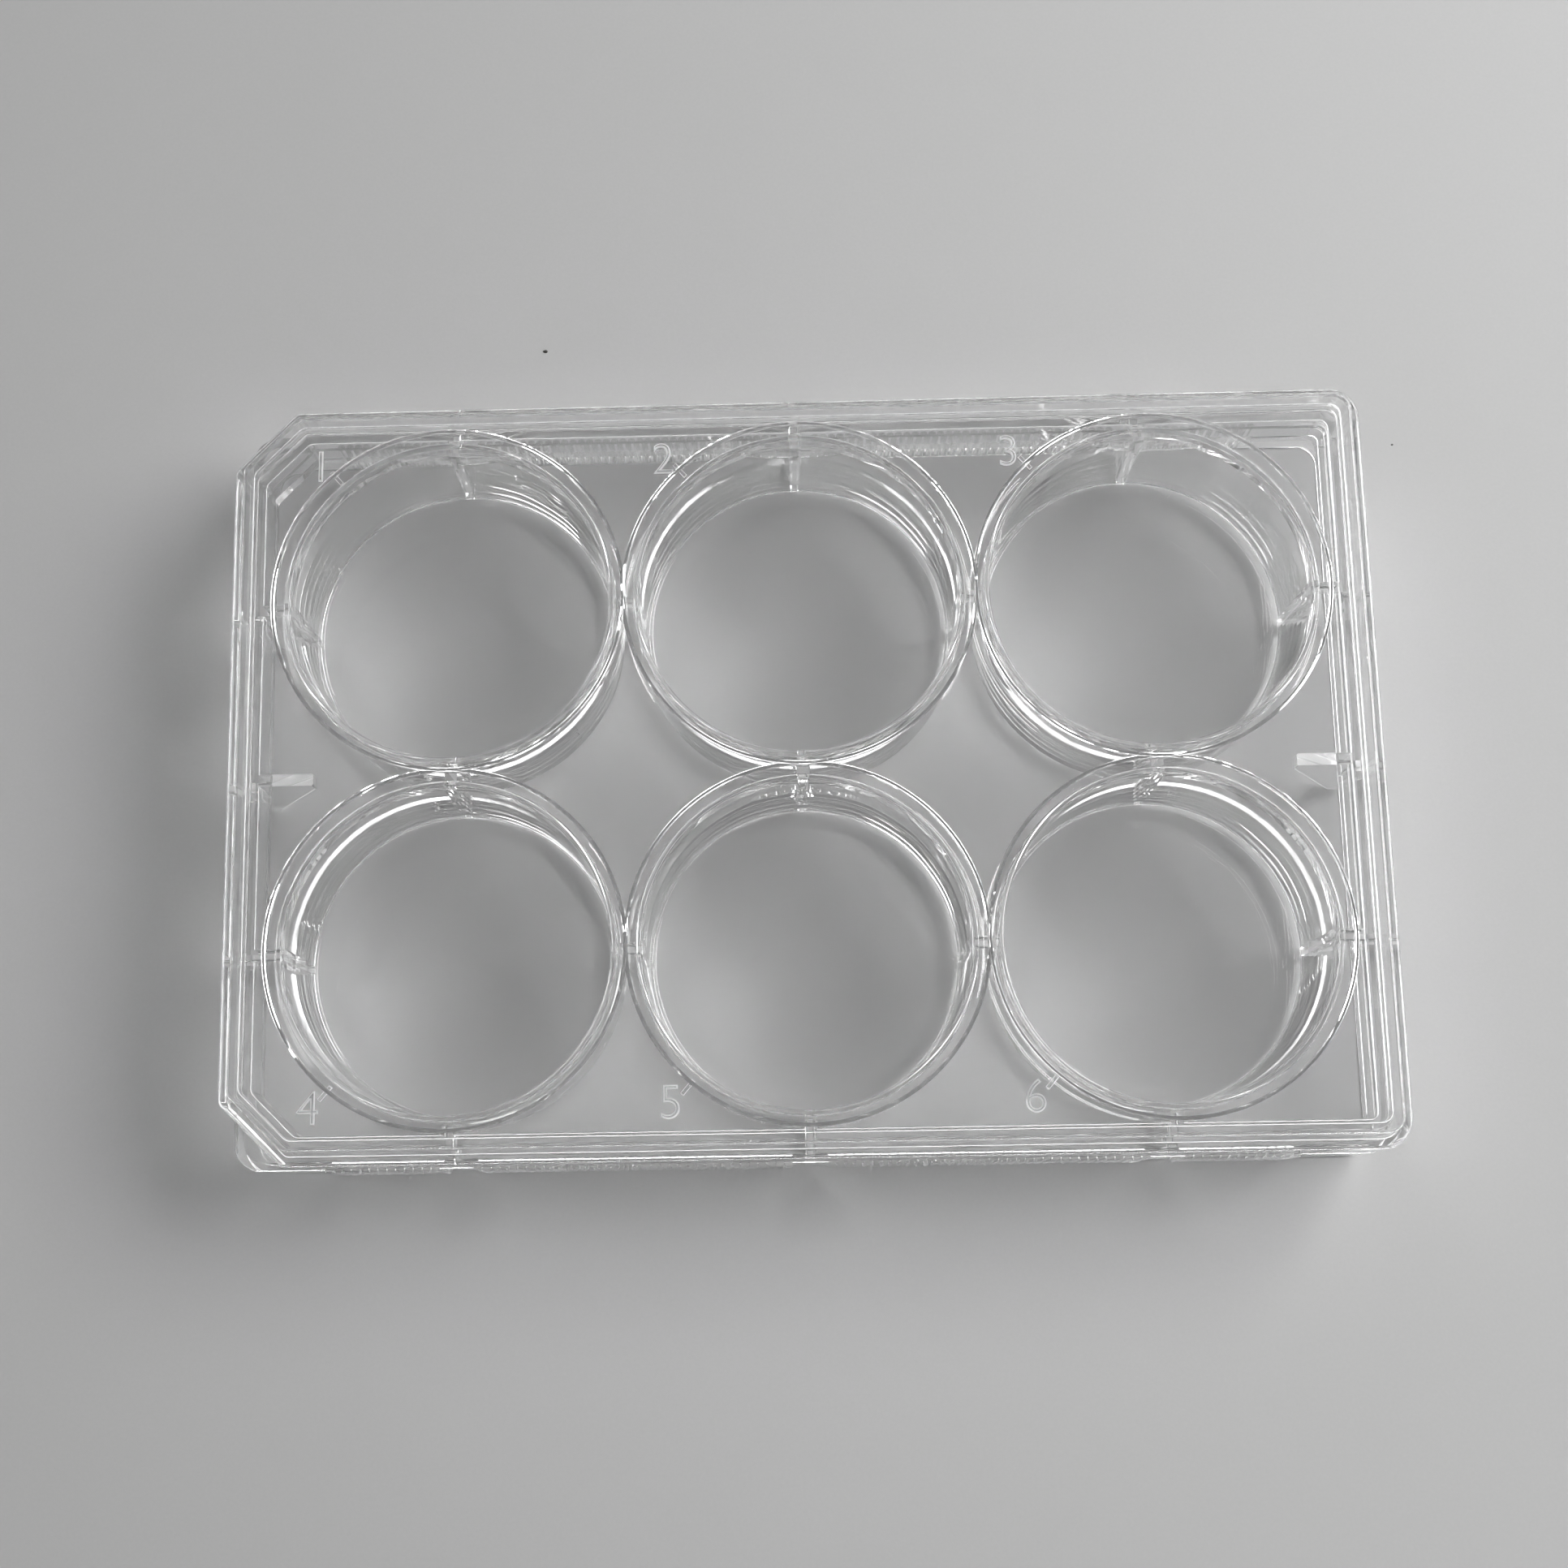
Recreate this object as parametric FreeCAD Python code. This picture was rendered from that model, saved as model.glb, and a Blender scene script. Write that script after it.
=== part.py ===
import FreeCAD, Part
import math
import os

# Six-well culture plate with its lid on: two clear mouldings, base and lid.
# Millimetres, +Z up. Origin: middle of the footprint, on the table.
# +X runs along the length towards the rounded lid corners, +Y along the width.

V = FreeCAD.Vector

# ---- footprint and well grid -------------------------------------------------
LENGTH = 127.76          # outside length of the skirt
WIDTH = 85.48            # outside width of the skirt
FOOT_CORNER_R = 3.18     # plan radius of the skirt corners
COLUMNS = 3
ROWS = 2

# ---- base: skirt, ledge, upper wall, deck --------------------------------------
SKIRT_T = 1.0            # wall of the lower skirt
LEDGE_Z = 10.0           # top of the ledge the lid rests on
LEDGE_T = 1.0            # thickness of the ledge
STEP_IN = 2.1            # upper wall stands this far inside the skirt's outside
UPPER_T = 1.15           # wall above the ledge
UPPER_CHAMFER = 5.6      # 45 degree key corners of the upper wall, -X end
UPPER_CORNER_R = 2.2     # its rounded corners, +X end
DECK_Z = 17.0            # top of the deck between the wells
DECK_T = 1.2

# ---- wells -----------------------------------------------------------------------
SIDE_GAP = 1.33          # wells stand this far from the upper wall's inside, long sides
END_GAP = 2.91           # the same at the short ends
WELL_GAP = 1.92          # between neighbouring wells
WELL_T = 0.7             # wall thickness at the rim; thicker below, as the inside tapers
WELL_TAPER = 0.35        # inside radius is this much smaller at the floor than at the rim
WELL_FLOOR_Z = 2.5       # top of the well floor
WELL_FLOOR_T = 1.2
RIM_RISE = 1.85          # rim stands this far above the deck

# ---- ribs under the deck ---------------------------------------------------------
RIB_T = 1.35             # thickness of every rib
RIB_FOOT_Z = 1.0         # lower edge of the ribs
GUSSET_REACH = 8.4       # end gussets reach this far in from the skirt's inside
GUSSET_TIP_H = 2.2       # height of their inner tip
GUSSET_FOOT_W = 1.7      # width left at their foot

# ---- grip flutes on the long sides -----------------------------------------------
FLUTE_PITCH = 0.98
FLUTE_H = 0.3            # how far a flute's crest stands out
FLUTE_SPAN = 107.4       # fluted length of each long side
FLUTE_GAP = 1.75         # plain half-width left at each rib

# ---- index ticks on the deck -----------------------------------------------------
TICK_ANGLE = 130.8       # direction of the tick seen from its well, degrees
TICK_OUT = 1.55          # the tick's middle stands this far outside the well
TICK_L = 2.0
TICK_W = 0.5
TICK_H = 0.2

# ---- lid -------------------------------------------------------------------------
LID_INSET = 0.1          # lid skirt stands this far inside the footprint
LID_T = 1.1              # wall and top thickness of the lid
LID_CHAMFER = 6.9        # 45 degree key corners, -X end
LID_CORNER_R = 3.4       # rounded corners, +X end
KEY_BLEND_R = 1.0        # small radius at both ends of each key corner
SHOULDER_GAP = 0.2       # underside of the shoulder above the deck
PLATEAU_IN = 1.55        # raised top stands this far inside the lid skirt
PLATEAU_RISE = 2.9       # raised top above the shoulder
RING_OUT = 0.75          # vapour rings under the lid stand this far outside the wells
RING_T = 0.42
RING_H = 0.8
EDGE_BEVEL = 0.3         # bevel on the lid's outer top edges

# ---- derived ---------------------------------------------------------------------
HALF_X = LENGTH / 2
HALF_Y = WIDTH / 2
LEDGE_UNDER = LEDGE_Z - LEDGE_T
DECK_UNDER = DECK_Z - DECK_T
RIM_Z = DECK_Z + RIM_RISE
ROOM_X = 2 * (HALF_X - STEP_IN - UPPER_T - END_GAP) - (COLUMNS - 1) * WELL_GAP
ROOM_Y = 2 * (HALF_Y - STEP_IN - UPPER_T - SIDE_GAP) - (ROWS - 1) * WELL_GAP
WELL_R_OUT = min(ROOM_X / COLUMNS, ROOM_Y / ROWS) / 2    # the largest wells that fit
WELL_R_TOP = WELL_R_OUT - WELL_T
WELL_R_FLOOR = WELL_R_TOP - WELL_TAPER
PITCH = 2 * WELL_R_OUT + WELL_GAP
TICK_R = WELL_R_OUT + TICK_OUT
RING_R_IN = WELL_R_OUT + RING_OUT
RING_R_OUT = RING_R_IN + RING_T
WELL_UNDER = WELL_FLOOR_Z - WELL_FLOOR_T
OFFSET_LEG = 2 - math.sqrt(2)   # a 45 degree leg shortens this much per mm of inset
SHOULDER_Z = DECK_Z + SHOULDER_GAP + LID_T
LID_TOP_Z = SHOULDER_Z + PLATEAU_RISE
BITE = 0.3                      # overlap that joins two bodies of one moulding


def well_centres():
    """Centres of the wells, row by row."""
    centres = []
    for row in range(ROWS):
        for column in range(COLUMNS):
            x = (column - (COLUMNS - 1) / 2) * PITCH
            y = ((ROWS - 1) / 2 - row) * PITCH
            centres.append((x, y))
    return centres


def prism(inset, z0, z1, corner_r, chamfer=0.0, blend_r=0.0):
    """Upright block inside the footprint by inset; the -X corners may be cut at 45 degrees."""
    x = HALF_X - inset
    y = HALF_Y - inset
    outline = [(x, -y), (x, y)]
    if chamfer:
        outline += [(chamfer - x, y), (-x, y - chamfer), (-x, chamfer - y), (chamfer - x, -y)]
    else:
        outline += [(-x, y), (-x, -y)]
    points = [V(px, py, z0) for px, py in outline]
    block = Part.Face(Part.makePolygon(points + points[:1])).extrude(V(0, 0, z1 - z0))
    round_edges = []
    blend_edges = []
    for edge in block.Edges:
        a, b = (vertex.Point for vertex in edge.Vertexes)
        if abs(a.z - b.z) < 0.5 * (z1 - z0):
            continue
        if chamfer and a.x < 0:
            blend_edges.append(edge)
        else:
            round_edges.append(edge)
    block = block.makeFillet(corner_r, round_edges)
    if blend_edges and blend_r:
        again = [e for e in block.Edges if is_key_edge(e, z1 - z0, x)]
        block = block.makeFillet(blend_r, again)
    return block


def is_key_edge(edge, height, half_x):
    """True for the upright edges at the ends of the 45 degree corners."""
    if len(edge.Vertexes) != 2:
        return False
    a, b = (vertex.Point for vertex in edge.Vertexes)
    upright = abs(abs(a.z - b.z) - height) < 1e-6
    return upright and a.x < 0 and a.x > -half_x - 1e-6


def slab(profile, thickness, direction, place):
    """Flat rib: profile of (outward, z) points, centred on its own plane.

    direction is the outward unit vector and place a point on the rib's plane.
    """
    side = V(-direction.y, direction.x, 0)
    start = place - side * (thickness / 2)
    points = [start + direction * out + V(0, 0, z) for out, z in profile]
    return Part.Face(Part.makePolygon(points + points[:1])).extrude(side * thickness)


def well_space(x, y):
    """Round space inside one well, tapered for release from the mould and run on past the rim.

    The wall line is a spline, so that the turned wall meshes in one row of facets.
    """
    grow = (WELL_R_TOP - WELL_R_FLOOR) / (RIM_Z - WELL_FLOOR_Z)
    top = RIM_Z + 1.0
    foot = V(x + WELL_R_FLOOR, y, WELL_FLOOR_Z)
    lip = V(x + WELL_R_FLOOR + grow * (top - WELL_FLOOR_Z), y, top)
    wall = Part.LineSegment(foot, lip).toBSpline().toShape()
    low_mid = V(x, y, WELL_FLOOR_Z)
    top_mid = V(x, y, top)
    rest = [Part.makeLine(lip, top_mid), Part.makeLine(top_mid, low_mid), Part.makeLine(low_mid, foot)]
    return Part.Face(Part.Wire([wall] + rest)).revolve(low_mid, V(0, 0, 1), 360)


def side_ribs():
    """Ribs from each outer well to the skirt, and the short webs between wells."""
    ribs = []
    skirt_mid = SKIRT_T / 2
    upper_mid = STEP_IN + UPPER_T / 2
    well_out = WELL_R_OUT - BITE
    for x, y in well_centres():
        for direction, half, at in ((V(math.copysign(1, x), 0, 0), HALF_X, abs(x)),
                                    (V(0, math.copysign(1, y), 0), HALF_Y, abs(y))):
            if direction.x and abs(x) < PITCH / 2:
                continue
            lower = half - skirt_mid - at
            upper = half - upper_mid - at
            profile = [(well_out, RIB_FOOT_Z), (lower, RIB_FOOT_Z),
                       (lower, LEDGE_Z - LEDGE_T / 2), (upper, LEDGE_Z - LEDGE_T / 2),
                       (upper, DECK_UNDER + BITE), (well_out, DECK_UNDER + BITE)]
            ribs.append(slab(profile, RIB_T, direction, V(x, y, 0)))
    web = [(well_out, RIB_FOOT_Z), (PITCH - well_out, RIB_FOOT_Z),
           (PITCH - well_out, DECK_UNDER + BITE), (well_out, DECK_UNDER + BITE)]
    for x, y in well_centres():
        if x < PITCH / 2:
            ribs.append(slab(web, RIB_T, V(1, 0, 0), V(x, y, 0)))
        if y > 0:
            ribs.append(slab(web, RIB_T, V(0, -1, 0), V(x, y, 0)))
    return ribs


def end_gussets():
    """One tapered gusset on the middle of each short side."""
    inside = HALF_X - SKIRT_T
    lower = HALF_X - SKIRT_T / 2
    upper = HALF_X - STEP_IN - UPPER_T / 2
    profile = [(lower, RIB_FOOT_Z), (lower, LEDGE_Z - LEDGE_T / 2),
               (upper, LEDGE_Z - LEDGE_T / 2), (upper, DECK_UNDER + BITE),
               (inside - GUSSET_REACH, DECK_UNDER + BITE),
               (inside - GUSSET_REACH, DECK_UNDER - GUSSET_TIP_H),
               (inside - GUSSET_FOOT_W, RIB_FOOT_Z)]
    return [slab(profile, RIB_T, V(side, 0, 0), V(0, 0, 0)) for side in (-1, 1)]


def flute_runs():
    """Start and number of flutes of each run between the plain places at the ribs."""
    stops = [(column - (COLUMNS - 1) / 2) * PITCH for column in range(COLUMNS)]
    edges = [-FLUTE_SPAN / 2]
    for stop in stops:
        edges += [stop - FLUTE_GAP, stop + FLUTE_GAP]
    edges.append(FLUTE_SPAN / 2)
    runs = []
    for low, high in zip(edges[0::2], edges[1::2]):
        count = int((high - low) / FLUTE_PITCH)
        runs.append((low + (high - low - count * FLUTE_PITCH) / 2, count))
    return runs


def flutes():
    """Upright grip flutes, crest beside crest, on both long sides of the skirt."""
    strips = []
    root = HALF_Y - SKIRT_T / 2
    for side in (-1, 1):
        for start, count in flute_runs():
            outline = [(start, root), (start, HALF_Y)]
            for number in range(count):
                x = start + number * FLUTE_PITCH
                outline += [(x + FLUTE_PITCH / 2, HALF_Y + FLUTE_H), (x + FLUTE_PITCH, HALF_Y)]
            outline.append((start + count * FLUTE_PITCH, root))
            points = [V(px, side * py, 0) for px, py in outline]
            strips.append(Part.Face(Part.makePolygon(points + points[:1])).extrude(V(0, 0, LEDGE_Z)))
    return strips


def ticks():
    """Index tick beside each well, pointing at its number."""
    bars = []
    for x, y in well_centres():
        bar = Part.makeBox(TICK_L, TICK_W, TICK_H + BITE,
                           V(TICK_R - TICK_L / 2, -TICK_W / 2, DECK_Z - BITE))
        bar.rotate(V(0, 0, 0), V(0, 0, 1), math.copysign(TICK_ANGLE, y))
        bar.translate(V(x, y, 0))
        bars.append(bar)
    return bars


def build_base():
    """Skirt, ledge, upper wall, deck, wells, ribs, flutes and ticks as one moulding."""
    inner_leg = UPPER_CHAMFER - OFFSET_LEG * UPPER_T
    body = prism(0, 0, LEDGE_Z, FOOT_CORNER_R)
    body = body.fuse(prism(STEP_IN, LEDGE_UNDER, DECK_Z, UPPER_CORNER_R, UPPER_CHAMFER, KEY_BLEND_R))
    body = body.cut(prism(SKIRT_T, -1, LEDGE_UNDER, FOOT_CORNER_R - SKIRT_T))
    body = body.cut(prism(STEP_IN + UPPER_T, -1, DECK_UNDER, UPPER_CORNER_R - UPPER_T, inner_leg))
    added = []
    for x, y in well_centres():
        added.append(Part.makeCylinder(WELL_R_OUT, RIM_Z - WELL_UNDER, V(x, y, WELL_UNDER)))
    added += side_ribs() + end_gussets() + flutes() + ticks()
    body = body.fuse(added)
    return body.cut([well_space(x, y) for x, y in well_centres()]).removeSplitter()


def bevel_top(block, z_high):
    """Bevel the outer edges of an upright block's top face."""
    top = [e for e in block.Edges if all(abs(v.Z - z_high) < 1e-6 for v in e.Vertexes)]
    return block.makeChamfer(EDGE_BEVEL, top)


def build_lid():
    """Skirt, shoulder, raised top and the vapour rings under it as one moulding."""
    shoulder_under = SHOULDER_Z - LID_T
    skirt = prism(LID_INSET, LEDGE_Z, SHOULDER_Z, LID_CORNER_R, LID_CHAMFER, KEY_BLEND_R)
    plateau = prism(LID_INSET + PLATEAU_IN, shoulder_under, LID_TOP_Z, LID_CORNER_R - PLATEAU_IN,
                    LID_CHAMFER - OFFSET_LEG * PLATEAU_IN, KEY_BLEND_R)
    skirt = bevel_top(skirt, SHOULDER_Z)
    plateau = bevel_top(plateau, LID_TOP_Z)
    body = skirt.fuse(plateau)
    body = body.cut(prism(LID_INSET + LID_T, LEDGE_Z - 1, shoulder_under, LID_CORNER_R - LID_T,
                          LID_CHAMFER - OFFSET_LEG * LID_T))
    body = body.cut(prism(LID_INSET + PLATEAU_IN + LID_T, LEDGE_Z - 1, LID_TOP_Z - LID_T,
                          LID_CORNER_R - PLATEAU_IN - LID_T / 2,
                          LID_CHAMFER - OFFSET_LEG * (PLATEAU_IN + LID_T)))
    rings = []
    for x, y in well_centres():
        low = V(x, y, LID_TOP_Z - LID_T - RING_H)
        ring = Part.makeCylinder(RING_R_OUT, RING_H + BITE, low)
        rings.append(ring.cut(Part.makeCylinder(RING_R_IN, RING_H + BITE, low)))
    return body.fuse(rings).removeSplitter()


def write(name, shape):
    """One valid solid per STEP file."""
    solids = shape.Solids
    if len(solids) != 1 or not solids[0].isValid():
        raise RuntimeError("%s is not one valid solid (%d)" % (name, len(solids)))
    solids[0].exportStep("parts/%s.step" % name)
    box = solids[0].BoundBox
    print("%s: volume %.1f mm3, %d faces, x %.2f..%.2f, y %.2f..%.2f, z %.2f..%.2f" % (
        name, solids[0].Volume, len(solids[0].Faces),
        box.XMin, box.XMax, box.YMin, box.YMax, box.ZMin, box.ZMax))


os.makedirs("parts", exist_ok=True)
write("base", build_base())
write("lid", build_lid())
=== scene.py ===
import math

import bmesh
import bpy
from bpy.props import FloatProperty, FloatVectorProperty, IntProperty, PointerProperty, StringProperty
from mathutils import Euler, Matrix, Vector


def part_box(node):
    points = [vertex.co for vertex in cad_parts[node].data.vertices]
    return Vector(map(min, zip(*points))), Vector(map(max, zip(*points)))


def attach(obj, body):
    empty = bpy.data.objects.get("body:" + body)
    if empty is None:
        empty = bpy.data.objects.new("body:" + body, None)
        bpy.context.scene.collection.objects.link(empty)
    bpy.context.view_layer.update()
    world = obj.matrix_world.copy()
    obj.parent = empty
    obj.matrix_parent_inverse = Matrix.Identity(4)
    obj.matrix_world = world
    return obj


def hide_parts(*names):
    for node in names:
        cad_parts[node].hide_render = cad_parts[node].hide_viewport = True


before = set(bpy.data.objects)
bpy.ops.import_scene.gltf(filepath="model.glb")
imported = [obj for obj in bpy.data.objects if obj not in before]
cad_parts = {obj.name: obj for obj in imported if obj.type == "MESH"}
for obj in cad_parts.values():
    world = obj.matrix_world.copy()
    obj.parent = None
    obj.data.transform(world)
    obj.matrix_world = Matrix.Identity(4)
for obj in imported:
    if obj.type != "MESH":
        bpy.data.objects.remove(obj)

bl_info = {
    "name": "Six-well culture plate",
    "version": (1, 0, 0),
    "blender": (4, 5, 0),
    "location": "3D Viewport > Sidebar > Well Plate",
    "description": "Builds a clear six-well culture plate with its lid, and a soft daylight stage",
    "category": "Add Mesh",
}

MM = 0.001
BASE_LOW, BASE_HIGH = (Vector(corner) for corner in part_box("base"))
LID_LOW, LID_HIGH = (Vector(corner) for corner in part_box("lid"))
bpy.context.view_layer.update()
TIGHT = 1e-7
PLAN_STEPS = 12          # segments in each rounded plan corner
ROUND_STEPS = 160        # segments round each well
SOFT_ANGLE = math.radians(28)


def size(name, description, default_mm, lowest=0.0):
    """A length property, stated in millimetres."""
    return FloatProperty(
        name=name, description=description, default=default_mm * MM, min=lowest,
        precision=5, unit="LENGTH", subtype="DISTANCE",
    )


class PlateGrid(bpy.types.PropertyGroup):
    columns: IntProperty(name="Columns", description="Wells along the length", default=3, min=1)
    rows: IntProperty(name="Rows", description="Wells along the width", default=2, min=1)
    pitch: size("Pitch", "Distance between well centres, both ways", 39.12)


class BaseSizes(bpy.types.PropertyGroup):
    width: size("Width", "Outside width of the skirt without its grip flutes", 85.48)
    foot_corner: size("Foot corner", "Plan radius of the skirt corners", 3.18)
    skirt_wall: size("Skirt wall", "Wall of the lower skirt", 1.0)
    ledge: size("Ledge height", "Top of the ledge that the lid rests on", 10.0)
    ledge_wall: size("Ledge thickness", "Thickness of the ledge", 1.0)
    step_in: size("Step in", "Upper wall inside the skirt's outside", 2.1)
    upper_wall: size("Upper wall", "Wall above the ledge", 1.15)
    upper_key: size("Key corner", "Leg of the 45 degree corners of the upper wall", 5.6)
    upper_corner: size("Upper corner", "Plan radius of the other corners of the upper wall", 2.2)
    deck: size("Deck height", "Top of the deck between the wells", 17.0)
    deck_wall: size("Deck thickness", "Thickness of the deck", 1.2)
    edge: size("Edge radius", "Small radius on the moulded edges", 0.22)


class WellSizes(bpy.types.PropertyGroup):
    rim_radius: size("Rim radius", "Inside radius of a well at its rim", 17.9)
    floor_radius: size("Floor radius", "Inside radius of a well at its floor", 17.55)
    wall: size("Wall", "Wall of a well at its rim", 0.7)
    floor: size("Floor height", "Top of the well floor", 2.5)
    floor_wall: size("Floor thickness", "Thickness of the well floor", 1.2)
    lip: size("Lip radius", "Radius on both edges of the rim", 0.2)
    floor_fillet: size("Floor fillet", "Radius between the floor and the wall", 0.55)


class RibSizes(bpy.types.PropertyGroup):
    thickness: size("Thickness", "Thickness of every rib at the deck", 1.35)
    foot_thickness: size("Foot thickness", "Thickness of every rib at its foot", 1.05)
    foot: size("Foot height", "Lower edge of the ribs", 1.0)
    gusset_reach: size("Gusset reach", "Length of the end gussets under the deck", 8.4)
    gusset_tip: size("Gusset tip", "Height of their inner tip", 2.2)
    gusset_foot: size("Gusset foot", "Width left at their foot", 1.7)
    edge: size("Edge radius", "Small radius on the ribs' edges", 0.2)


class GripSizes(bpy.types.PropertyGroup):
    pitch: size("Pitch", "Distance between grip flutes", 0.98)
    height: size("Height", "How far a flute stands out", 0.3)
    span: size("Span", "Fluted length of each long side", 107.4)
    gap: size("Gap", "Plain half width left at each rib", 1.75)


class MarkSizes(bpy.types.PropertyGroup):
    tick_angle: FloatProperty(
        name="Tick angle", description="Direction of the index tick seen from its well",
        default=math.radians(130.8), subtype="ANGLE", unit="ROTATION",
    )
    tick_radius: size("Tick radius", "Distance of the tick's middle from the well centre", 20.15)
    tick_length: size("Tick length", "Length of the tick", 2.0)
    tick_width: size("Tick width", "Width of the tick", 0.5)
    tick_height: size("Tick height", "Height of the tick above the deck", 0.35)
    tick_round: size("Tick round", "Radius on the tick's top edges", 0.14)
    digit_height: size("Number height", "Height of the raised numbers", 3.65)
    digit_rise: size("Number rise", "How far the numbers stand above the deck", 0.35)
    digit_x: size("Number across", "Number's middle to the left of its well centre", 15.05)
    digit_y: size("Number out", "Number's middle towards the long side from its well centre", 16.75)


class LidSizes(bpy.types.PropertyGroup):
    wall: size("Wall", "Wall and top thickness of the lid", 1.1)
    key: size("Key corner", "Leg of the 45 degree corners", 6.9)
    key_blend: size("Key blend", "Small radius at both ends of each key corner", 1.0)
    corner: size("Corner", "Plan radius of the other corners", 3.4)
    seat_gap: size("Seat gap", "Air left between the lid's foot and the ledge", 0.04)
    shoulder: size("Shoulder height", "Top of the shoulder round the raised top", 18.3)
    plateau_in: size("Raised top inset", "Raised top inside the lid skirt", 1.55)
    ring_inner: size("Ring inner radius", "Inside radius of the vapour rings", 19.35)
    ring_outer: size("Ring outer radius", "Outside radius of the vapour rings", 19.77)
    ring_depth: size("Ring depth", "How far the vapour rings hang down", 0.8)
    edge: size("Edge radius", "Radius on the outer top edges", 0.4)


class PlasticLook(bpy.types.PropertyGroup):
    tint: StringProperty(name="Tint", description="sRGB hex tint of the polystyrene", default="FEFEFE")
    ior: FloatProperty(name="IOR", description="Index of refraction of polystyrene", default=1.59)
    ripple: size("Ripple size", "Distance between the flow ripples that moulding leaves", 7.0)
    ripple_height: size("Ripple height", "Height of the flow ripples", 0.002)
    grain: FloatProperty(name="Grain", description="Roughness of the finely grained faces", default=0.4)
    rib_grain: FloatProperty(name="Rib grain", description="Share of that grain on the ribs", default=1.0)
    frost: FloatProperty(name="Frost", description="Share of light that the marks scatter", default=0.28)


class StageLook(bpy.types.PropertyGroup):
    paper: StringProperty(name="Paper", description="sRGB hex colour of the paper", default="B2B2B2")
    paper_gap: size("Paper gap", "Air left between the skirt's foot and the paper", 0.05)
    camera_place: FloatVectorProperty(
        name="Camera place", description="Camera position", size=3, subtype="TRANSLATION",
        unit="LENGTH", default=(-0.0037666, -0.0508690, 0.2571539),
    )
    camera_turn: FloatVectorProperty(
        name="Camera turn", description="Camera rotation", size=3, subtype="EULER",
        unit="ROTATION", default=(0.2023, 0.0252, -0.0157),
    )
    lens: FloatProperty(name="Lens", description="Focal length in millimetres", default=50.91)
    shift: FloatProperty(name="Shift", description="Sideways lens shift", default=0.04)
    window_power: FloatProperty(name="Window power", description="Power of the window lamp", default=3.3, unit="POWER")
    ceiling: FloatProperty(name="Ceiling", description="Strength of the light from overhead", default=0.19)
    walls: FloatProperty(name="Walls", description="Strength of the light from the room's bright walls", default=23.6)
    window_wall: FloatProperty(name="Window wall", description="Strength of the light beside the window", default=30.6)
    far_wall: FloatProperty(name="Far wall", description="Strength of the light from the shaded wall", default=8.3)


# ---------------------------------------------------------------- mesh helpers


def plate(scene=None):
    return (scene or bpy.context.scene).well_plate


def well_centres():
    """Centres of the wells, row by row from the far left."""
    grid = plate().grid
    centres = []
    for row in range(grid.rows):
        for column in range(grid.columns):
            x = (column - (grid.columns - 1) / 2) * grid.pitch
            y = ((grid.rows - 1) / 2 - row) * grid.pitch
            centres.append(Vector((x, y, 0)))
    return centres


def key_leg_inside(leg, inset):
    """Leg of a 45 degree corner of an outline that lies inside another by inset."""
    return leg - (2 - math.sqrt(2)) * inset


def plan_face(bm, half_x, half_y, z, corner, key=0.0, blend=0.0):
    """Flat plan outline with rounded corners; the -X corners may be cut at 45 degrees."""
    points = [(half_x, -half_y), (half_x, half_y)]
    if key:
        points += [(key - half_x, half_y), (-half_x, half_y - key)]
        points += [(-half_x, key - half_y), (key - half_x, -half_y)]
    else:
        points += [(-half_x, half_y), (-half_x, -half_y)]
    verts = [bm.verts.new((x, y, z)) for x, y in points]
    bm.faces.new(verts)
    rounded = verts[:2] if key else verts
    bmesh.ops.bevel(
        bm, geom=rounded, offset=corner, offset_type="OFFSET", segments=PLAN_STEPS,
        profile=0.5, affect="VERTICES", material=-1, clamp_overlap=True,
    )
    if key and blend:
        keys = [v for v in bm.verts if v.is_valid and v in verts[2:]]
        bmesh.ops.bevel(
            bm, geom=keys, offset=blend * math.tan(math.radians(22.5)), offset_type="OFFSET",
            segments=PLAN_STEPS // 2, profile=0.5, affect="VERTICES", material=-1,
            clamp_overlap=True,
        )
    bm.faces.ensure_lookup_table()
    return bm.faces[0]


def raise_block(bm, face, height):
    """Extrude a lone outline into a closed block; gives its top and bottom faces."""
    grown = bmesh.ops.extrude_face_region(bm, geom=[face])["geom"]
    new_verts = [g for g in grown if isinstance(g, bmesh.types.BMVert)]
    bmesh.ops.translate(bm, verts=new_verts, vec=(0, 0, height))
    bmesh.ops.recalc_face_normals(bm, faces=bm.faces)
    flat = sorted((f for f in bm.faces if abs(f.normal.z) > 0.99), key=lambda f: f.calc_center_median().z)
    return flat[-1], flat[0]


def step_in(bm, face, inset):
    """Inset a flat face evenly; the inner face is kept."""
    bmesh.ops.inset_region(bm, faces=[face], thickness=inset, use_even_offset=True, use_boundary=True)
    return face


def lift(bm, face, height):
    """Extrude a flat face straight up or down."""
    moved = bmesh.ops.extrude_discrete_faces(bm, faces=[face])["faces"][0]
    bmesh.ops.translate(bm, verts=moved.verts, vec=(0, 0, height))
    return moved


def level_edges(bm, z, want=lambda edge: True):
    """Edges that lie in the plane at height z, between faces that aren't both flat."""
    found = []
    for edge in bm.edges:
        if any(abs(v.co.z - z) > TIGHT * 10 for v in edge.verts):
            continue
        if len(edge.link_faces) == 2 and edge.calc_face_angle(0.0) > 0.3 and want(edge):
            found.append(edge)
    return found


def soften(bm, edges, radius, steps=3):
    """Round edges with a small moulded radius."""
    bmesh.ops.bevel(
        bm, geom=edges, offset=radius, offset_type="OFFSET", segments=steps, profile=0.5,
        affect="EDGES", material=-1, clamp_overlap=True, miter_outer="ARC",
    )


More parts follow.
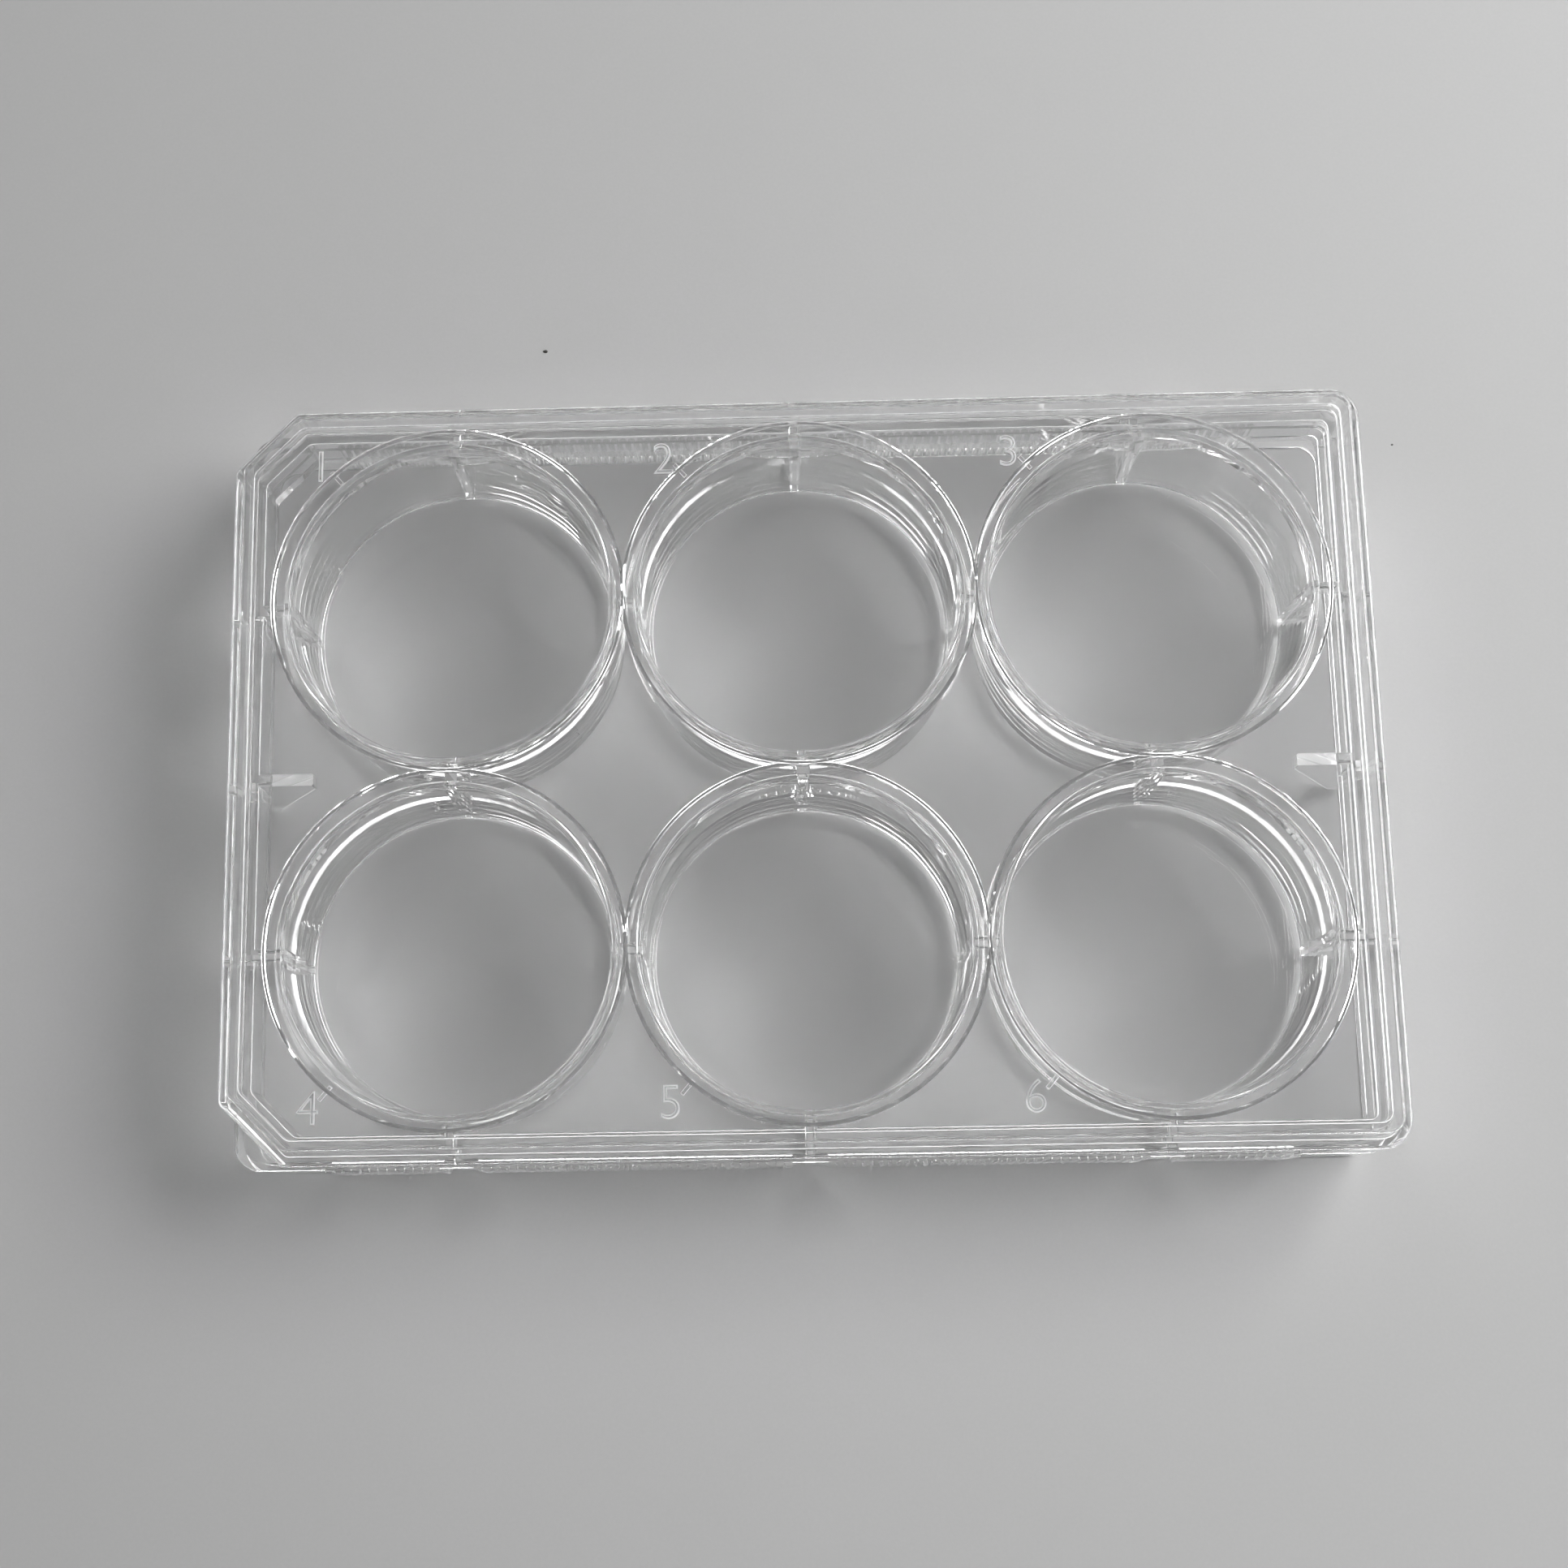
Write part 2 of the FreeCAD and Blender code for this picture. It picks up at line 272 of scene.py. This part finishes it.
def upright_block(name, half_x, half_y, z0, z1, corner, key=0.0, blend=0.0, round_top=0.0, round_foot=0.0):
    """Upright block with a rounded plan, and a small radius round its top or foot."""
    bm = bmesh.new()
    raise_block(bm, plan_face(bm, half_x, half_y, z0, corner, key, blend), z1 - z0)
    if round_top:
        soften(bm, level_edges(bm, z1), round_top, 4)
    if round_foot:
        soften(bm, level_edges(bm, z0), round_foot, 3)
    return solid_piece(name, bm)


def solid_piece(name, bm):
    """A closed mesh object from a bmesh, with its faces pointing outwards."""
    bmesh.ops.remove_doubles(bm, verts=bm.verts, dist=TIGHT * 5)
    bmesh.ops.recalc_face_normals(bm, faces=bm.faces)
    open_edges = [e for e in bm.edges if len(e.link_faces) != 2]
    if open_edges:
        raise RuntimeError("%s is open at %d edges" % (name, len(open_edges)))
    mesh = bpy.data.meshes.new(name)
    bm.to_mesh(mesh)
    bm.free()
    obj = bpy.data.objects.new(name, mesh)
    bpy.context.scene.collection.objects.link(obj)
    return obj


def combine(body, tool, operation):
    """Join a tool piece to the body or cut it away, and drop the tool."""
    before = len(body.data.polygons)
    boolean = body.modifiers.new(operation, "BOOLEAN")
    boolean.operation = operation
    boolean.solver = "MANIFOLD"
    boolean.object = tool
    graph = bpy.context.evaluated_depsgraph_get()
    merged = bpy.data.meshes.new_from_object(body.evaluated_get(graph))
    body.modifiers.clear()
    old = body.data
    body.data = merged
    bpy.data.meshes.remove(old)
    if len(merged.polygons) == before:
        raise RuntimeError("%s changed nothing in %s" % (tool.name, body.name))
    bpy.data.objects.remove(tool)


def tool_grain(face):
    """Share of the fine grain on a face of the base: 0 is polished, 1 is frosted."""
    settings = plate()
    middle, normal = face.calc_center_median(), face.normal
    over_deck = middle.z - settings.base.deck
    if 0.01 * MM < over_deck < settings.marks.digit_rise + 0.05 * MM and 0.07 < normal.z < 0.97:
        return 1.0
    lower_edge = abs(middle.z - settings.ribs.foot) < 0.02 * MM and normal.z < -0.9
    on_gusset = abs(middle.y) < settings.ribs.thickness / 2 and middle.z > 2 * settings.ribs.foot
    if lower_edge or (on_gusset and -0.9 < normal.z < -0.2):
        return settings.plastic.rib_grain
    return 0.0


def finish_moulding(obj, material, grain_of=None):
    """Merge slivers, mark true edges sharp, and give flat faces their own flat normals."""
    bm = bmesh.new()
    bm.from_mesh(obj.data)
    bmesh.ops.remove_doubles(bm, verts=bm.verts, dist=2e-6)
    grain = bm.faces.layers.float.new("grain")
    for face in bm.faces:
        face.smooth = True
        face.material_index = 0
        face[grain] = grain_of(face) if grain_of else 0.0
    for edge in bm.edges:
        edge.smooth = edge.calc_face_angle(math.pi) < SOFT_ANGLE
    open_edges = sum(1 for e in bm.edges if len(e.link_faces) != 2)
    if open_edges:
        raise RuntimeError("%s is open at %d edges" % (obj.name, open_edges))
    bm.to_mesh(obj.data)
    bm.free()
    obj.data.materials.clear()
    obj.data.materials.append(material)
    weighted = obj.modifiers.new("flat_normals", "WEIGHTED_NORMAL")
    weighted.mode = "FACE_AREA"
    weighted.keep_sharp = True
    weighted.weight = 50


def turned(bm, centre, outline, steps=ROUND_STEPS):
    """Turn an outline of (radius, z) points round the well axis into a closed form."""
    verts = [bm.verts.new((centre.x + r, centre.y, z)) for r, z in outline]
    pairs = list(zip(verts, verts[1:]))
    if outline[0][0] > 0:
        pairs.append((verts[-1], verts[0]))
    edges = [bm.edges.new(pair) for pair in pairs]
    bmesh.ops.spin(
        bm, geom=verts + edges, cent=(centre.x, centre.y, 0), axis=(0, 0, 1),
        angle=2 * math.pi, steps=steps, use_merge=True,
    )


def ring_edges(bm, centre, radius, z):
    """Edges of the turned ring at that radius and height."""
    found = []
    for edge in bm.edges:
        if all(abs(v.co.z - z) < 1e-6 and abs((v.co.xy - centre.xy).length - radius) < 1e-6 for v in edge.verts):
            found.append(edge)
    return found


def rib(bm, profile, sizes, direction, place):
    """Upright rib from a profile of (outward, z) points, drafted to be thinner at its foot."""
    side = Vector((-direction.y, direction.x, 0))
    low, high = min(z for out, z in profile), max(z for out, z in profile)
    verts = [bm.verts.new(place + direction * out + Vector((0, 0, z))) for out, z in profile]
    face = bm.faces.new(verts)
    grown = bmesh.ops.extrude_face_region(bm, geom=[face])["geom"]
    far = [g for g in grown if isinstance(g, bmesh.types.BMVert)]
    for group, way in ((verts, -1), (far, 1)):
        for vert in group:
            share = (vert.co.z - low) / (high - low)
            vert.co += side * way * (sizes.foot_thickness + share * (sizes.thickness - sizes.foot_thickness)) / 2


# ------------------------------------------------------------------ materials


def srgb(hex_code):
    """Linear colour from an sRGB hex code."""
    channels = [int(hex_code[i:i + 2], 16) / 255 for i in (0, 2, 4)]
    return [c / 12.92 if c <= 0.04045 else ((c + 0.055) / 1.055) ** 2.4 for c in channels] + [1.0]


def add_node(tree, kind, settings=None, **inputs):
    """Add a node, set its own settings, then its inputs by name: a value, or an output to link."""
    node = tree.nodes.new(kind)
    for key, value in (settings or {}).items():
        setattr(node, key, value)
    for key, value in inputs.items():
        slots = [s for s in node.inputs if s.name.replace(" ", "_") == key and s.enabled]
        index = 0
        if not slots:
            key, _, number = key.rpartition("_")
            slots = [s for s in node.inputs if s.name.replace(" ", "_") == key]
            index = int(number)
        if isinstance(value, bpy.types.NodeSocket):
            tree.links.new(value, slots[index])
        else:
            slots[index].default_value = value
    return node


def clear_polystyrene(name):
    """General purpose polystyrene, injection moulded in a polished tool.

    Water clear and glassy: bright thin edges and faint flow ripples that bend what is seen
    through it a little. The marks and the narrow lower edges of the ribs have a fine grain, which
    makes them look frosted.
    """
    look = plate().plastic
    material = bpy.data.materials.new(name)
    material.use_nodes = True
    tree = material.node_tree
    tree.nodes.clear()
    place = add_node(tree, "ShaderNodeTexCoord").outputs["Object"]
    # the melt spreads from a gate in the middle, so its faint ripples are rings round the Z axis
    ripple = add_node(
        tree, "ShaderNodeTexWave", {"wave_type": "RINGS", "rings_direction": "Z"}, Vector=place,
        Scale=math.pi / 10 / look.ripple, Distortion=0.0, Detail=0.0,
    ).outputs["Fac"]
    surface = add_node(tree, "ShaderNodeBump", Height=ripple, Strength=1.0, Distance=look.ripple_height)
    grain = add_node(tree, "ShaderNodeAttribute", {"attribute_name": "grain"}).outputs["Fac"]
    roughness = add_node(
        tree, "ShaderNodeMapRange", Value=grain, To_Min=0.0, To_Max=look.grain,
    ).outputs["Result"]
    clearness = add_node(
        tree, "ShaderNodeMapRange", Value=grain, To_Min=1.0, To_Max=1 - look.frost,
    ).outputs["Result"]
    plastic = add_node(
        tree, "ShaderNodeBsdfPrincipled", Base_Color=srgb(look.tint), Metallic=0.0,
        Roughness=roughness, IOR=look.ior, Transmission_Weight=clearness,
        Normal=surface.outputs["Normal"],
    )
    add_node(tree, "ShaderNodeOutputMaterial", Surface=plastic.outputs["BSDF"])
    return material


def uncoated_paper(name):
    """Uncoated cover paper: matt, with a faint fibre mottle."""
    look = plate().stage
    material = bpy.data.materials.new(name)
    material.use_nodes = True
    tree = material.node_tree
    tree.nodes.clear()
    place = add_node(tree, "ShaderNodeTexCoord").outputs["Object"]
    fibre = add_node(tree, "ShaderNodeTexNoise", Vector=place, Scale=2500.0, Detail=3.0).outputs["Fac"]
    low, high = srgb(look.paper), srgb(look.paper)
    low[:3] = [c * 0.97 for c in low[:3]]
    high[:3] = [c * 1.03 for c in high[:3]]
    colour = add_node(tree, "ShaderNodeMix", {"data_type": "RGBA"}, Factor=fibre, A=low, B=high).outputs[2]
    surface = add_node(tree, "ShaderNodeBump", Height=fibre, Strength=0.3, Distance=0.02 * MM)
    paper = add_node(
        tree, "ShaderNodeBsdfPrincipled", Base_Color=colour, Roughness=0.9,
        Normal=surface.outputs["Normal"],
    )
    add_node(tree, "ShaderNodeOutputMaterial", Surface=paper.outputs["BSDF"])
    return material


def lint_dust(name):
    """Dark specks of lint lying on the paper: matt, a little lighter where the fibres are thin."""
    material = bpy.data.materials.new(name)
    material.use_nodes = True
    tree = material.node_tree
    tree.nodes.clear()
    place = add_node(tree, "ShaderNodeTexCoord").outputs["Object"]
    fibre = add_node(tree, "ShaderNodeTexNoise", Vector=place, Scale=8000.0).outputs["Fac"]
    colour = add_node(
        tree, "ShaderNodeMix", {"data_type": "RGBA"}, Factor=fibre, A=srgb("1C1B1A"), B=srgb("4A4845"),
    ).outputs[2]
    lint = add_node(tree, "ShaderNodeBsdfPrincipled", Base_Color=colour, Roughness=0.95)
    add_node(tree, "ShaderNodeOutputMaterial", Surface=lint.outputs["BSDF"])
    return material


def room_light(name):
    """A room seen from the table: dim ceiling, walls bright near the horizon, the far one in shade."""
    look = plate().stage
    world = bpy.data.worlds.new(name)
    world.use_nodes = True
    tree = world.node_tree
    tree.nodes.clear()
    way = add_node(tree, "ShaderNodeTexCoord").outputs["Generated"]
    parts = add_node(tree, "ShaderNodeSeparateXYZ", Vector=way).outputs
    near = add_node(
        tree, "ShaderNodeMapRange", {"interpolation_type": "SMOOTHERSTEP"}, Value=parts["X"],
        From_Min=0.0, From_Max=0.7, To_Min=look.walls, To_Max=look.window_wall,
    ).outputs["Result"]
    wall = add_node(
        tree, "ShaderNodeMapRange", {"interpolation_type": "SMOOTHERSTEP"}, Value=parts["Y"],
        From_Min=0.1, From_Max=0.75, To_Min=near, To_Max=look.far_wall,
    ).outputs["Result"]
    low = add_node(
        tree, "ShaderNodeMapRange", {"interpolation_type": "SMOOTHERSTEP"}, Value=parts["Z"],
        From_Min=0.0, From_Max=0.18, To_Min=wall, To_Max=look.ceiling,
    ).outputs["Result"]
    light = add_node(tree, "ShaderNodeBackground", Color=(1, 1, 1, 1), Strength=low)
    add_node(tree, "ShaderNodeOutputWorld", Surface=light.outputs["Background"])
    return world


# ------------------------------------------------------------------ operators


def skirt_and_deck():
    """Lower skirt with its ledge, upper wall and deck, as one hollow form."""
    sizes = plate().base
    half_x, half_y = BASE_HIGH.x, sizes.width / 2
    bm = bmesh.new()
    foot = plan_face(bm, half_x, half_y, 0, sizes.foot_corner)
    top, under = raise_block(bm, foot, sizes.ledge)
    under = step_in(bm, under, sizes.skirt_wall)
    lift(bm, under, sizes.ledge - sizes.ledge_wall)
    soften(bm, level_edges(bm, sizes.ledge), sizes.edge)
    soften(bm, level_edges(bm, 0), sizes.edge)
    body = solid_piece("base_moulding", bm)

    blend = plate().lid.key_blend
    start = sizes.ledge - sizes.ledge_wall / 2
    combine(body, upright_block(
        "upper_wall", half_x - sizes.step_in, half_y - sizes.step_in, start, sizes.deck,
        sizes.upper_corner, sizes.upper_key, blend, round_top=sizes.edge,
    ), "UNION")
    inset = sizes.step_in + sizes.upper_wall
    combine(body, upright_block(
        "upper_hollow", half_x - inset, half_y - inset, -MM, sizes.deck - sizes.deck_wall,
        sizes.upper_corner - sizes.upper_wall, key_leg_inside(sizes.upper_key, sizes.upper_wall),
        blend, round_top=sizes.edge,
    ), "DIFFERENCE")
    return body


def wells(body):
    """Round cups let into the deck, each with a rounded rim and a flat floor."""
    deck, cup = plate().base, plate().wells
    rim_z = BASE_HIGH.z
    outer = cup.rim_radius + cup.wall
    under = cup.floor - cup.floor_wall
    bm = bmesh.new()
    for centre in well_centres():
        middle = cup.rim_radius + cup.wall / 2
        turned(bm, centre, [(0, deck.ledge), (middle, deck.ledge), (middle, rim_z + MM), (0, rim_z + MM)])
    combine(body, solid_piece("deck_holes", bm), "DIFFERENCE")
    bm = bmesh.new()
    for centre in well_centres():
        turned(bm, centre, [
            (0, under), (outer, under), (outer, rim_z), (cup.rim_radius, rim_z),
            (cup.floor_radius, cup.floor), (0, cup.floor),
        ])
    bmesh.ops.remove_doubles(bm, verts=bm.verts, dist=TIGHT * 5)
    for centre in well_centres():
        soften(bm, ring_edges(bm, centre, outer, rim_z) + ring_edges(bm, centre, cup.rim_radius, rim_z), cup.lip, 4)
        soften(bm, ring_edges(bm, centre, cup.floor_radius, cup.floor), cup.floor_fillet, 4)
        soften(bm, ring_edges(bm, centre, outer, under), cup.lip, 3)
    combine(body, solid_piece("cups", bm), "UNION")


def ribs(body):
    """Ribs from the wells to the skirt, webs between the wells and the two end gussets."""
    base, cup, sizes, grid = plate().base, plate().wells, plate().ribs, plate().grid
    half_x, half_y = BASE_HIGH.x, base.width / 2
    bite = 0.3 * MM
    well_out = cup.rim_radius + cup.wall - bite
    top = base.deck - base.deck_wall + bite
    ledge_mid = base.ledge - base.ledge_wall / 2
    bm = bmesh.new()
    for centre in well_centres():
        for direction, half, at in (
            (Vector((math.copysign(1, centre.x), 0, 0)), half_x, abs(centre.x)),
            (Vector((0, math.copysign(1, centre.y), 0)), half_y, abs(centre.y)),
        ):
            if direction.x and abs(centre.x) < grid.pitch / 2:
                continue
            lower = half - base.skirt_wall / 2 - at
            upper = half - base.step_in - base.upper_wall / 2 - at
            profile = [(well_out, sizes.foot), (lower, sizes.foot), (lower, ledge_mid),
                       (upper, ledge_mid), (upper, top), (well_out, top)]
            rib(bm, profile, sizes, direction, centre)
    web = [(well_out, sizes.foot), (grid.pitch - well_out, sizes.foot),
           (grid.pitch - well_out, top), (well_out, top)]
    for centre in well_centres():
        if centre.x < grid.pitch / 2:
            rib(bm, web, sizes, Vector((1, 0, 0)), centre)
        if centre.y > 0:
            rib(bm, web, sizes, Vector((0, -1, 0)), centre)
    inside = half_x - base.skirt_wall
    gusset = [(half_x - base.skirt_wall / 2, sizes.foot), (half_x - base.skirt_wall / 2, ledge_mid),
              (half_x - base.step_in - base.upper_wall / 2, ledge_mid),
              (half_x - base.step_in - base.upper_wall / 2, top), (inside - sizes.gusset_reach, top),
              (inside - sizes.gusset_reach, top - bite - sizes.gusset_tip),
              (inside - sizes.gusset_foot, sizes.foot)]
    for side in (-1, 1):
        rib(bm, gusset, sizes, Vector((side, 0, 0)), Vector((0, 0, 0)))
    bmesh.ops.recalc_face_normals(bm, faces=bm.faces)
    soften(bm, [e for e in bm.edges if e.calc_face_angle(0.0) > 0.3], sizes.edge, 2)
    combine(body, solid_piece("rib_set", bm), "UNION")


def grip_flutes(body):
    """Rounded upright flutes on both long sides, with plain places at the ribs."""
    base, grip, grid = plate().base, plate().grip, plate().grid
    stops = [(column - (grid.columns - 1) / 2) * grid.pitch for column in range(grid.columns)]
    edges = [-grip.span / 2]
    for stop in stops:
        edges += [stop - grip.gap, stop + grip.gap]
    edges.append(grip.span / 2)
    bm = bmesh.new()
    for low, high in zip(edges[0::2], edges[1::2]):
        count = int((high - low) / grip.pitch)
        start = low + (high - low - count * grip.pitch) / 2
        for number in range(count):
            x = start + (number + 0.5) * grip.pitch
            for side in (-1, 1):
                flute = bmesh.ops.create_cone(
                    bm, cap_ends=True, segments=20, radius1=1, radius2=1, depth=base.ledge,
                )["verts"]
                bmesh.ops.scale(bm, verts=flute, vec=(grip.pitch * 0.46, grip.height, 1))
                bmesh.ops.translate(bm, verts=flute, vec=(x, side * base.width / 2, base.ledge / 2))
    combine(body, solid_piece("flute_set", bm), "UNION")


def marks(body):
    """Index tick and raised number beside each well."""
    base, sizes = plate().base, plate().marks
    bite = 0.3 * MM
    bm = bmesh.new()
    for centre in well_centres():
        angle = math.copysign(sizes.tick_angle, centre.y)
        tick = bmesh.ops.create_cube(bm, size=1)["verts"]
        bmesh.ops.scale(bm, verts=tick, vec=(sizes.tick_length, sizes.tick_width, sizes.tick_height + bite))
        bmesh.ops.translate(bm, verts=tick, vec=(sizes.tick_radius, 0, base.deck + (sizes.tick_height - bite) / 2))
        bmesh.ops.rotate(bm, verts=tick, cent=(0, 0, 0), matrix=Matrix.Rotation(angle, 3, "Z"))
        bmesh.ops.translate(bm, verts=tick, vec=centre)
    soften(bm, level_edges(bm, base.deck + sizes.tick_height), sizes.tick_round, 4)
    combine(body, solid_piece("tick_set", bm), "UNION")
    bm = bmesh.new()
    for number, centre in enumerate(well_centres(), start=1):
        curve = bpy.data.curves.new("number", "FONT")
        curve.body = str(number)
        curve.align_x = "CENTER"
        curve.align_y = "CENTER"
        curve.size = 1.0
        curve.extrude = 0.01
        curve.bevel_depth = 0.034
        curve.bevel_resolution = 3
        curve.offset = -0.034
        curve.resolution_u = 6
        text = bpy.data.objects.new("number", curve)
        bpy.context.scene.collection.objects.link(text)
        graph = bpy.context.evaluated_depsgraph_get()
        mesh = bpy.data.meshes.new_from_object(text.evaluated_get(graph))
        bpy.data.objects.remove(text)
        glyph = bmesh.new()
        glyph.from_mesh(mesh)
        bpy.data.meshes.remove(mesh)
        bmesh.ops.remove_doubles(glyph, verts=glyph.verts, dist=1e-5)
        low = Vector([min(v.co[i] for v in glyph.verts) for i in range(3)])
        high = Vector([max(v.co[i] for v in glyph.verts) for i in range(3)])
        scale = sizes.digit_height / (high.y - low.y)
        rise = sizes.digit_rise + bite
        bmesh.ops.translate(glyph, verts=glyph.verts, vec=-(low + high) / 2)
        bmesh.ops.scale(glyph, verts=glyph.verts, vec=(scale, scale, rise / (high.z - low.z)))
        out = math.copysign(sizes.digit_y, centre.y)
        bmesh.ops.translate(
            glyph, verts=glyph.verts,
            vec=(centre.x - sizes.digit_x, centre.y + out, base.deck + sizes.digit_rise - rise / 2),
        )
        piece = bpy.data.meshes.new("number")
        glyph.to_mesh(piece)
        glyph.free()
        bm.from_mesh(piece)
        bpy.data.meshes.remove(piece)
    combine(body, solid_piece("number_set", bm), "UNION")


class WELLPLATE_OT_base(bpy.types.Operator):
    """Build the base: skirt, deck, wells, ribs, flutes, ticks and numbers as one moulding"""

    bl_idname = "wellplate.base"
    bl_label = "Base moulding"

    def execute(self, context):
        body = skirt_and_deck()
        wells(body)
        ribs(body)
        grip_flutes(body)
        marks(body)
        finish_moulding(body, clear_polystyrene("clear_polystyrene_base"), tool_grain)
        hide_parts("base")
        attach(body, "root")
        return {"FINISHED"}


class WELLPLATE_OT_lid(bpy.types.Operator):
    """Build the lid: skirt, shoulder, raised top and vapour rings as one moulding"""

    bl_idname = "wellplate.lid"
    bl_label = "Lid moulding"

    def execute(self, context):
        sizes = plate().lid
        top_z, foot_z = LID_HIGH.z, LID_LOW.z + sizes.seat_gap
        half_x, half_y = LID_HIGH.x, LID_HIGH.y
        under_shoulder = sizes.shoulder - sizes.wall
        body = upright_block(
            "lid_moulding", half_x, half_y, foot_z, sizes.shoulder, sizes.corner, sizes.key,
            sizes.key_blend, round_top=sizes.edge, round_foot=sizes.edge / 2,
        )
        inset = sizes.plateau_in
        combine(body, upright_block(
            "raised_top", half_x - inset, half_y - inset, under_shoulder, top_z,
            sizes.corner - inset, key_leg_inside(sizes.key, inset), sizes.key_blend, round_top=sizes.edge,
        ), "UNION")
        inset = sizes.wall
        combine(body, upright_block(
            "skirt_hollow", half_x - inset, half_y - inset, foot_z - MM, under_shoulder,
            sizes.corner - inset, key_leg_inside(sizes.key, inset), sizes.key_blend, round_top=sizes.edge / 2,
        ), "DIFFERENCE")
        inset = sizes.plateau_in + sizes.wall
        combine(body, upright_block(
            "top_hollow", half_x - inset, half_y - inset, foot_z - MM, top_z - sizes.wall,
            sizes.corner - sizes.plateau_in - sizes.wall / 2, key_leg_inside(sizes.key, inset),
            sizes.key_blend, round_top=sizes.edge / 2,
        ), "DIFFERENCE")
        under_top = top_z - sizes.wall
        for turn in range(2):
            bm = bmesh.new()
            for number, centre in enumerate(well_centres()):
                if number % 2 == turn:
                    middle = (sizes.ring_inner + sizes.ring_outer) / 2
                    turned(bm, centre, [
                        (sizes.ring_inner, under_top - sizes.ring_depth * 0.7),
                        (middle, under_top - sizes.ring_depth),
                        (sizes.ring_outer, under_top - sizes.ring_depth * 0.7),
                        (sizes.ring_outer, under_top + (0.3 + 0.1 * turn) * MM),
                        (sizes.ring_inner, under_top + (0.3 + 0.1 * turn) * MM),
                    ])
            combine(body, solid_piece("rings", bm), "UNION")
        finish_moulding(body, clear_polystyrene("clear_polystyrene_lid"))
        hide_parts("lid")
        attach(body, "root")
        return {"FINISHED"}


def soft_light(name, place, across, along, power):
    """A flat soft light that faces the middle of the plate."""
    lamp = bpy.data.lights.new(name, "AREA")
    lamp.shape = "RECTANGLE"
    lamp.size = across
    lamp.size_y = along
    lamp.energy = power
    light = bpy.data.objects.new(name, lamp)
    light.matrix_world = Matrix.Translation(place) @ place.to_track_quat("Z", "Y").to_matrix().to_4x4()
    bpy.context.scene.collection.objects.link(light)


class WELLPLATE_OT_stage(bpy.types.Operator):
    """Set the paper, the window light, the room light and the camera"""

    bl_idname = "wellplate.stage"
    bl_label = "Paper, light and camera"

    def execute(self, context):
        look = plate().stage
        bm = bmesh.new()
        bmesh.ops.create_grid(bm, x_segments=2, y_segments=2, size=2.0, matrix=Matrix.Translation((0, 0, -look.paper_gap)))
        mesh = bpy.data.meshes.new("paper")
        bm.to_mesh(mesh)
        bm.free()
        paper = bpy.data.objects.new("paper", mesh)
        bpy.context.scene.collection.objects.link(paper)
        mesh.materials.append(uncoated_paper("uncoated_paper"))

        dust = bmesh.new()
        for x, y, grain in ((-30.3, 57.0, 0.30), (72.6, 42.3, 0.15)):
            speck = bmesh.ops.create_icosphere(dust, subdivisions=2, radius=grain * MM)["verts"]
            bmesh.ops.scale(dust, verts=speck, vec=(1.0, 0.7, 0.4))
            bmesh.ops.translate(dust, verts=speck, vec=(x * MM, y * MM, 0))
        mesh = bpy.data.meshes.new("dust")
        dust.to_mesh(mesh)
        dust.free()
        dust = bpy.data.objects.new("dust", mesh)
        bpy.context.scene.collection.objects.link(dust)
        mesh.materials.append(lint_dust("lint_dust"))

        soft_light("window", Vector((0.360, 0.160, 0.42)), 0.42, 0.26, look.window_power)

        bpy.context.scene.world = room_light("room")
        bpy.context.scene.view_settings.view_transform = "Standard"
        # the plate's own light patterns on the paper are true caustics: light crosses many clear walls
        # on its way down and back, and none of it is blurred
        paths = bpy.context.scene.cycles
        paths.max_bounces = 64
        paths.transmission_bounces = 64
        paths.glossy_bounces = 64
        paths.diffuse_bounces = 2
        paths.caustics_reflective = True
        paths.caustics_refractive = True
        paths.blur_glossy = 0.0

        lens = bpy.data.cameras.new("camera")
        lens.sensor_width = 36.0
        lens.lens = look.lens
        lens.shift_x = look.shift
        lens.clip_start = 0.01
        camera = bpy.data.objects.new("camera", lens)
        camera.matrix_world = Matrix.Translation(look.camera_place) @ Euler(look.camera_turn).to_matrix().to_4x4()
        bpy.context.scene.collection.objects.link(camera)
        bpy.context.scene.camera = camera
        return {"FINISHED"}


class PlateSettings(bpy.types.PropertyGroup):
    grid: PointerProperty(type=PlateGrid)
    base: PointerProperty(type=BaseSizes)
    wells: PointerProperty(type=WellSizes)
    ribs: PointerProperty(type=RibSizes)
    grip: PointerProperty(type=GripSizes)
    marks: PointerProperty(type=MarkSizes)
    lid: PointerProperty(type=LidSizes)
    plastic: PointerProperty(type=PlasticLook)
    stage: PointerProperty(type=StageLook)


class WELLPLATE_PT_sidebar(bpy.types.Panel):
    bl_label = "Well Plate"
    bl_idname = "WELLPLATE_PT_sidebar"
    bl_space_type = "VIEW_3D"
    bl_region_type = "UI"
    bl_category = "Well Plate"

    def draw(self, context):
        layout = self.layout
        for operator in STEPS:
            layout.operator(operator.bl_idname)
        for group_name in PlateSettings.__annotations__:
            box = layout.box()
            box.label(text=group_name.title())
            group = getattr(plate(context.scene), group_name)
            for name in group.__annotations__:
                box.prop(group, name)


STEPS = (WELLPLATE_OT_base, WELLPLATE_OT_lid, WELLPLATE_OT_stage)
GROUPS = (PlateGrid, BaseSizes, WellSizes, RibSizes, GripSizes, MarkSizes, LidSizes, PlasticLook, StageLook)
CLASSES = GROUPS + (PlateSettings,) + STEPS + (WELLPLATE_PT_sidebar,)


def register():
    for cls in CLASSES:
        bpy.utils.register_class(cls)
    bpy.types.Scene.well_plate = PointerProperty(type=PlateSettings)


def unregister():
    del bpy.types.Scene.well_plate
    for cls in reversed(CLASSES):
        bpy.utils.unregister_class(cls)


def build():
    """Build every piece and the stage."""
    register()
    bpy.ops.wellplate.base()
    bpy.ops.wellplate.lid()
    bpy.ops.wellplate.stage()


if __name__ == "__main__":
    build()
